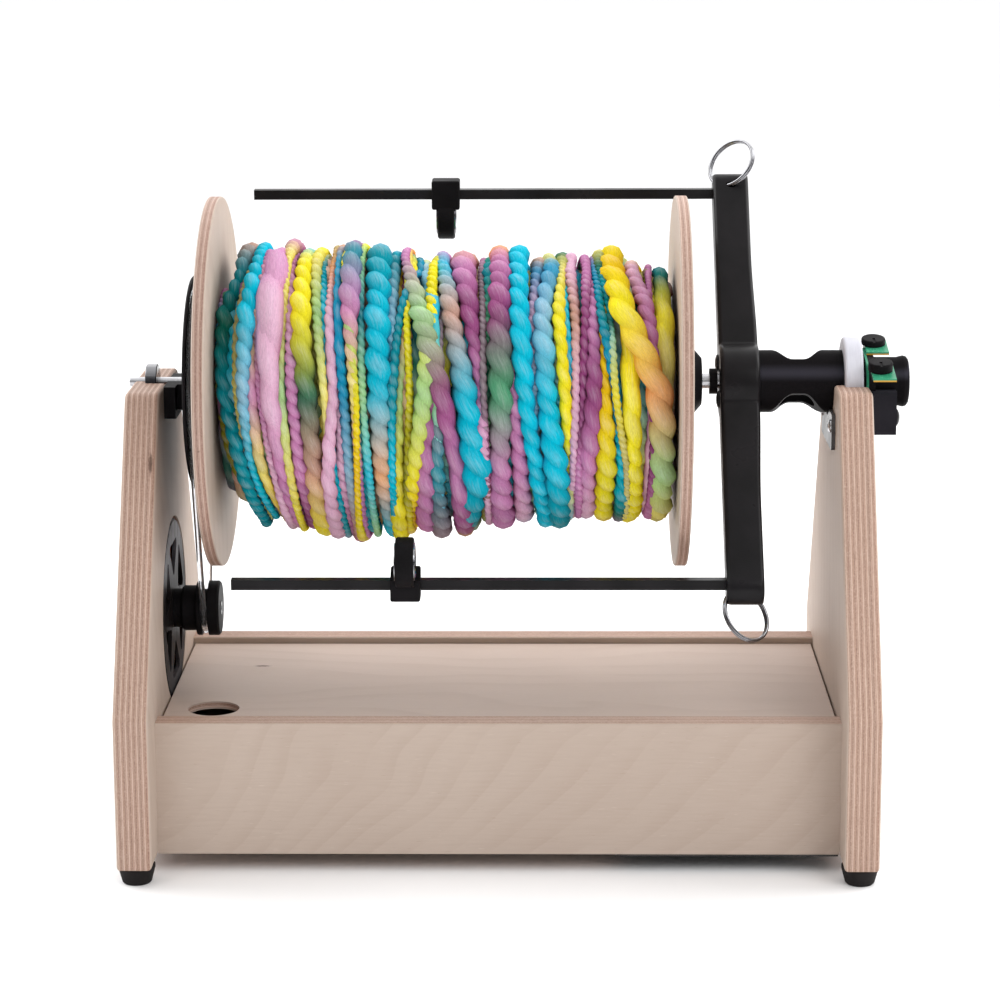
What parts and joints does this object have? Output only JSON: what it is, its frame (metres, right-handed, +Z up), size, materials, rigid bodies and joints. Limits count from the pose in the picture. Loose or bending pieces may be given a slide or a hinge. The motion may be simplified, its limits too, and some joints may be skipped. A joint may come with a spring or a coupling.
{
  "type": "electric spinning wheel",
  "caption": "Plywood electric spinning wheel: a motor drives a large yarn bobbin by belt inside a two-rod flyer with sliding hooks and an orifice tube.",
  "frame": {"origin": "on the floor plane of the four feet, midway between the uprights and under the shaft axis", "axes": "+X along the shaft towards the orifice, +Y away from the spinner, +Z up"},
  "size_m": [0.413, 0.242, 0.3605],
  "materials": {
    "birch_ply": "sanded pale birch plywood, clear matt finish",
    "black_plastic": "matt black moulded plastic",
    "black_metal": "satin black anodised metal",
    "steel": "ground steel",
    "chrome": "polished",
    "black_screw": "black oxide",
    "white_nylon": "turned white nylon",
    "rubber": "soft black rubber",
    "clear_belt": "clear smooth polyurethane cord",
    "green_board": "green solder mask",
    "yarn": "thick and thin art yarn in many colours",
    "copper": "enamelled copper wire",
    "iron": "stacked laminations",
    "grey_plate": "glossy grey sheet",
    "dark_sheet": "thin dark sheet"
  },
  "bodies": {
    "stand": {"left_upright": "birch_ply", "right_upright": "birch_ply", "front_panel": "birch_ply", "back_panel": "birch_ply", "bottom_panel": "birch_ply", "lid_cleats": "birch_ply", "base_cover": "dark_sheet", "feet": "rubber", "foot_screws": "steel", "panel_screws": "steel", "left_bearing_outer": "steel", "left_bearing_balls": "steel", "motor_bearing": "steel", "motor_screws": "steel", "plate_screws": "steel", "left_bearing_block": "black_plastic", "tube_cradle": "black_plastic", "control_bracket": "black_plastic", "dc_inlet": "black_plastic", "left_block_screws": "black_screw", "cradle_screws": "black_screw", "motor_mount": "black_metal", "motor_stator": "iron", "motor_coils": "copper", "drive_belt": "clear_belt", "nylon_ring": "white_nylon", "retainer_plate": "grey_plate", "control_arch_board": "green_board", "dial_boards": "green_board", "controller_board": "green_board"},
    "bobbin": {"bobbin_whorl": "black_plastic", "bobbin_flange_left": "birch_ply", "bobbin_flange_right": "birch_ply", "bobbin_core": "birch_ply", "bobbin_bushes": "black_plastic", "bobbin_hub": "black_plastic", "yarn_core": "yarn", "yarn_winding": "yarn"},
    "flyer": {"flyer_shaft": "steel", "shaft_collar": "black_plastic", "flyer_arm": "black_metal", "flyer_rod_upper": "black_metal", "flyer_rod_lower": "black_metal", "arm_screws": "black_screw", "orifice_tube": "black_metal", "left_bearing_inner": "steel"},
    "motor_rotor": {"motor_bell": "black_metal", "motor_magnets": "iron", "motor_shaft": "steel", "motor_pulley": "black_plastic", "motor_pulley_screw": "steel"},
    "hook_upper": {"hook_upper": "black_plastic", "hook_eyelet_upper": "chrome"},
    "hook_lower": {"hook_lower": "black_plastic", "hook_eyelet_lower": "chrome"},
    "guide_ring_upper": {"guide_ring_upper": "chrome"},
    "guide_ring_lower": {"guide_ring_lower": "chrome"},
    "front_dial": {"front_dial": "black_plastic"},
    "back_dial": {"back_dial": "black_plastic"},
    "lid": {"lid": "birch_ply"}
  },
  "joints": [
    {"name": "bobbin_spin", "type": "hinge", "parent": "stand", "child": "bobbin", "pos_m": [0, 0, 0.2409], "axis": [1, 0, 0], "continuous": true},
    {"name": "motor_spin", "type": "hinge", "parent": "stand", "child": "motor_rotor", "pos_m": [0, 0, 0.1169], "axis": [1, 0, 0], "continuous": true},
    {"name": "flyer_spin", "type": "hinge", "parent": "stand", "child": "flyer", "pos_m": [0, 0, 0.2409], "axis": [1, 0, 0], "continuous": true},
    {"name": "upper_hook_slide", "type": "slide", "parent": "flyer", "child": "hook_upper", "axis": [1, 0, 0], "range_m": [-0.098, 0.1365]},
    {"name": "lower_hook_slide", "type": "slide", "parent": "flyer", "child": "hook_lower", "axis": [1, 0, 0], "range_m": [-0.0812, 0.153]},
    {"name": "upper_ring_spin", "type": "hinge", "parent": "flyer", "child": "guide_ring_upper", "pos_m": [0.12682, 0.08385, 0.3476], "axis": [-0.5924, -0.5987, 0.5391], "continuous": true},
    {"name": "lower_ring_spin", "type": "hinge", "parent": "flyer", "child": "guide_ring_lower", "pos_m": [0.12682, -0.08385, 0.1342], "axis": [-0.5924, 0.5987, -0.5391], "continuous": true},
    {"name": "front_dial_turn", "type": "hinge", "parent": "stand", "child": "front_dial", "pos_m": [0.1988, -0.02707, 0.24975], "axis": [0, -0.2113, 0.9774], "range_deg": [-135, 135]},
    {"name": "back_dial_turn", "type": "hinge", "parent": "stand", "child": "back_dial", "pos_m": [0.1988, 0.00977, 0.25771], "axis": [0, -0.2113, 0.9774], "range_deg": [-135, 135]},
    {"name": "lid_lift", "type": "slide", "parent": "stand", "child": "lid", "axis": [0, 0, 1], "range_m": [0, 0.01]}
  ],
  "couplings": [
    {"joint": "motor_spin", "follows": "bobbin_spin", "ratio": 4.3443}
  ]
}
